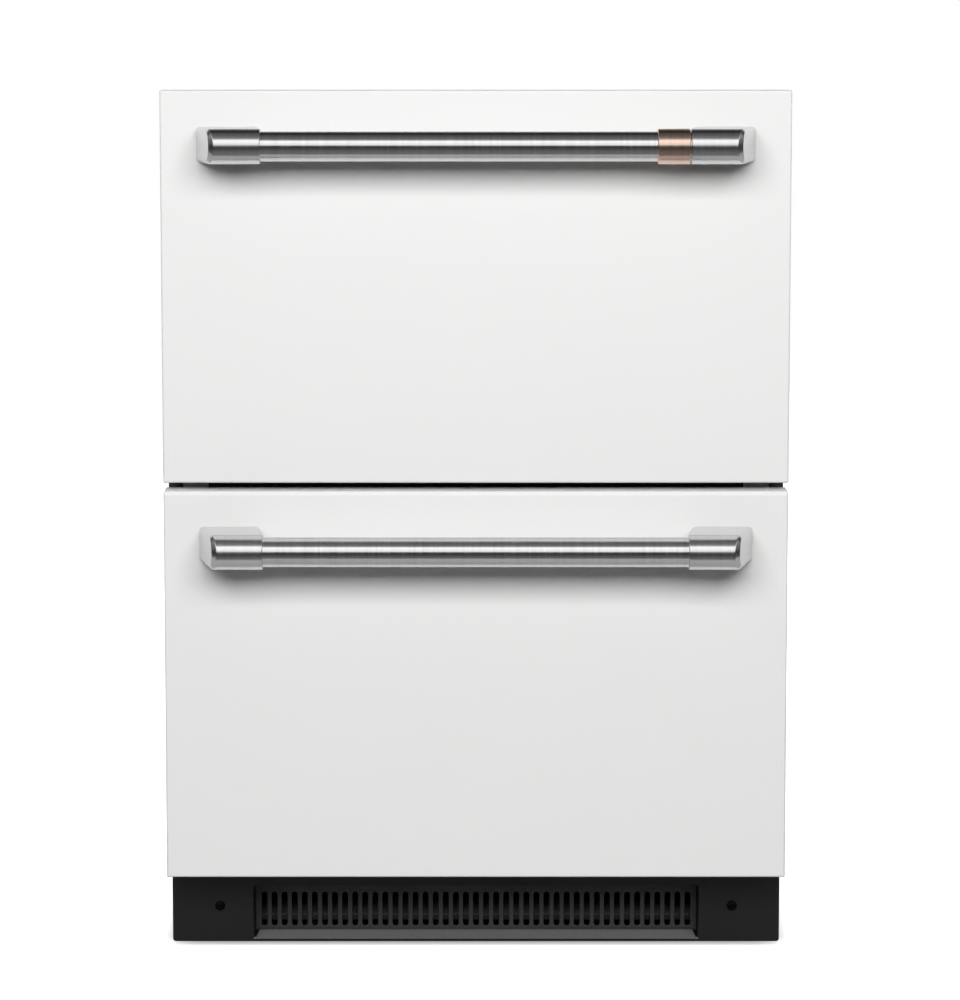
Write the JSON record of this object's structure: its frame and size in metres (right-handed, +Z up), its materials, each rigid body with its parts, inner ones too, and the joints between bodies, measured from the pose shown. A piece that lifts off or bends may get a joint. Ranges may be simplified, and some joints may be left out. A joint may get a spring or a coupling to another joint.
{
  "type": "undercounter drawer refrigerator",
  "caption": "Undercounter refrigerator with two stacked drawers on telescopic slides, bar handles, a slotted toe-kick grille and levelling legs.",
  "frame": {"origin": "on the floor plane, under the middle of the bounding box", "axes": "+X to the right seen from the front, -Y out of the front, +Z up"},
  "size_m": [0.603, 0.6748, 0.85],
  "materials": {
    "white_paint": "satin",
    "case_paint": "satin",
    "black_paint": "satin",
    "galvanised_sheet": "satin",
    "handle_steel": "satin",
    "slide_steel": "satin",
    "copper_ring": "satin",
    "copper_tube": "satin",
    "black_plastic": "matte",
    "grey_plastic": "matte",
    "white_plastic": "gloss",
    "foam": "matte",
    "gasket_rubber": "matte",
    "fin_aluminium": "satin",
    "display_glass": "gloss",
    "light_lens": "satin"
  },
  "bodies": {
    "cabinet": {"outer_case": "case_paint", "back_panel": "galvanised_sheet", "base_pan": "black_paint", "foam_insulation": "foam", "inner_liner": "white_plastic", "center_mullion": "black_plastic", "toe_kick": "black_paint", "vent_grille": "black_plastic", "panel_screws": "black_paint", "machine_cover": "galvanised_sheet", "mounting_brackets": "galvanised_sheet", "cord_gland": "black_plastic", "compressor": "black_paint", "compressor_mounts": "gasket_rubber", "condenser_coil": "black_paint", "condenser_fan_shroud": "black_plastic", "condenser_fan_motor": "grey_plastic", "refrigerant_lines": "copper_tube", "drain_pan": "black_plastic", "electronics_box": "grey_plastic", "evaporator_coil": "fin_aluminium", "evaporator_cover": "white_plastic", "evaporator_fan_motor": "grey_plastic", "control_housing": "grey_plastic", "control_display": "display_glass", "light_lens": "light_lens", "temperature_sensor": "white_plastic", "upper_outer_slides": "slide_steel", "lower_outer_slides": "slide_steel"},
    "upper_drawer": {"upper_front_skin": "white_paint", "upper_front_foam": "foam", "upper_front_panel": "black_plastic", "upper_gasket": "gasket_rubber", "upper_bin": "white_plastic", "upper_inner_slides": "slide_steel", "upper_handle_rod": "handle_steel", "upper_left_bracket": "handle_steel", "upper_right_bracket": "handle_steel", "handle_ring": "copper_ring"},
    "lower_drawer": {"lower_front_skin": "white_paint", "lower_front_foam": "foam", "lower_front_panel": "black_plastic", "lower_gasket": "gasket_rubber", "lower_bin": "white_plastic", "lower_inner_slides": "slide_steel", "lower_handle_rod": "handle_steel", "lower_left_bracket": "handle_steel", "lower_right_bracket": "handle_steel"},
    "upper_middle": {"upper_middle_slides": "slide_steel"},
    "lower_middle": {"lower_middle_slides": "slide_steel"},
    "divider": {"upper_divider": "white_plastic"},
    "condenser_rotor": {"condenser_fan": "white_plastic"},
    "evaporator_rotor": {"evaporator_fan": "black_plastic"},
    "power_key": {"power_button": "white_plastic"},
    "colder_key": {"colder_button": "white_plastic"},
    "warmer_key": {"warmer_button": "white_plastic"},
    "front_left_foot": {"front_left_leg": "black_plastic"},
    "front_right_foot": {"front_right_leg": "black_plastic"},
    "rear_left_foot": {"rear_left_leg": "black_plastic"},
    "rear_right_foot": {"rear_right_leg": "black_plastic"}
  },
  "joints": [
    {"name": "upper_drawer_slide", "type": "slide", "parent": "cabinet", "child": "upper_drawer", "axis": [0, -1, 0], "range_m": [0, 0.45]},
    {"name": "upper_middle_slide", "type": "slide", "parent": "cabinet", "child": "upper_middle", "axis": [0, -1, 0], "range_m": [0, 0.225]},
    {"name": "lower_drawer_slide", "type": "slide", "parent": "cabinet", "child": "lower_drawer", "axis": [0, -1, 0], "range_m": [0, 0.45]},
    {"name": "lower_middle_slide", "type": "slide", "parent": "cabinet", "child": "lower_middle", "axis": [0, -1, 0], "range_m": [0, 0.225]},
    {"name": "divider_slide", "type": "slide", "parent": "upper_drawer", "child": "divider", "axis": [0, 1, 0], "range_m": [-0.11, 0.11]},
    {"name": "condenser_fan_spin", "type": "hinge", "parent": "cabinet", "child": "condenser_rotor", "pos_m": [-0.14, 0, 0.087], "axis": [0, 1, 0], "continuous": true},
    {"name": "evaporator_fan_spin", "type": "hinge", "parent": "cabinet", "child": "evaporator_rotor", "pos_m": [0, 0, 0.722], "axis": [0, 1, 0], "continuous": true},
    {"name": "power_press", "type": "slide", "parent": "cabinet", "child": "power_key", "axis": [0, 1, 0], "range_m": [0, 0.0012], "stiffness_N_per_m": 600, "springref_m": -0.0005},
    {"name": "colder_press", "type": "slide", "parent": "cabinet", "child": "colder_key", "axis": [0, 1, 0], "range_m": [0, 0.0012], "stiffness_N_per_m": 600, "springref_m": -0.0005},
    {"name": "warmer_press", "type": "slide", "parent": "cabinet", "child": "warmer_key", "axis": [0, 1, 0], "range_m": [0, 0.0012], "stiffness_N_per_m": 600, "springref_m": -0.0005},
    {"name": "front_left_level", "type": "slide", "parent": "cabinet", "child": "front_left_foot", "axis": [0, 0, -1], "range_m": [0, 0.022]},
    {"name": "front_right_level", "type": "slide", "parent": "cabinet", "child": "front_right_foot", "axis": [0, 0, -1], "range_m": [0, 0.022]},
    {"name": "rear_left_level", "type": "slide", "parent": "cabinet", "child": "rear_left_foot", "axis": [0, 0, -1], "range_m": [0, 0.022]},
    {"name": "rear_right_level", "type": "slide", "parent": "cabinet", "child": "rear_right_foot", "axis": [0, 0, -1], "range_m": [0, 0.022]}
  ],
  "couplings": [
    {"joint": "upper_middle_slide", "follows": "upper_drawer_slide", "ratio": 0.5},
    {"joint": "lower_middle_slide", "follows": "lower_drawer_slide", "ratio": 0.5}
  ]
}
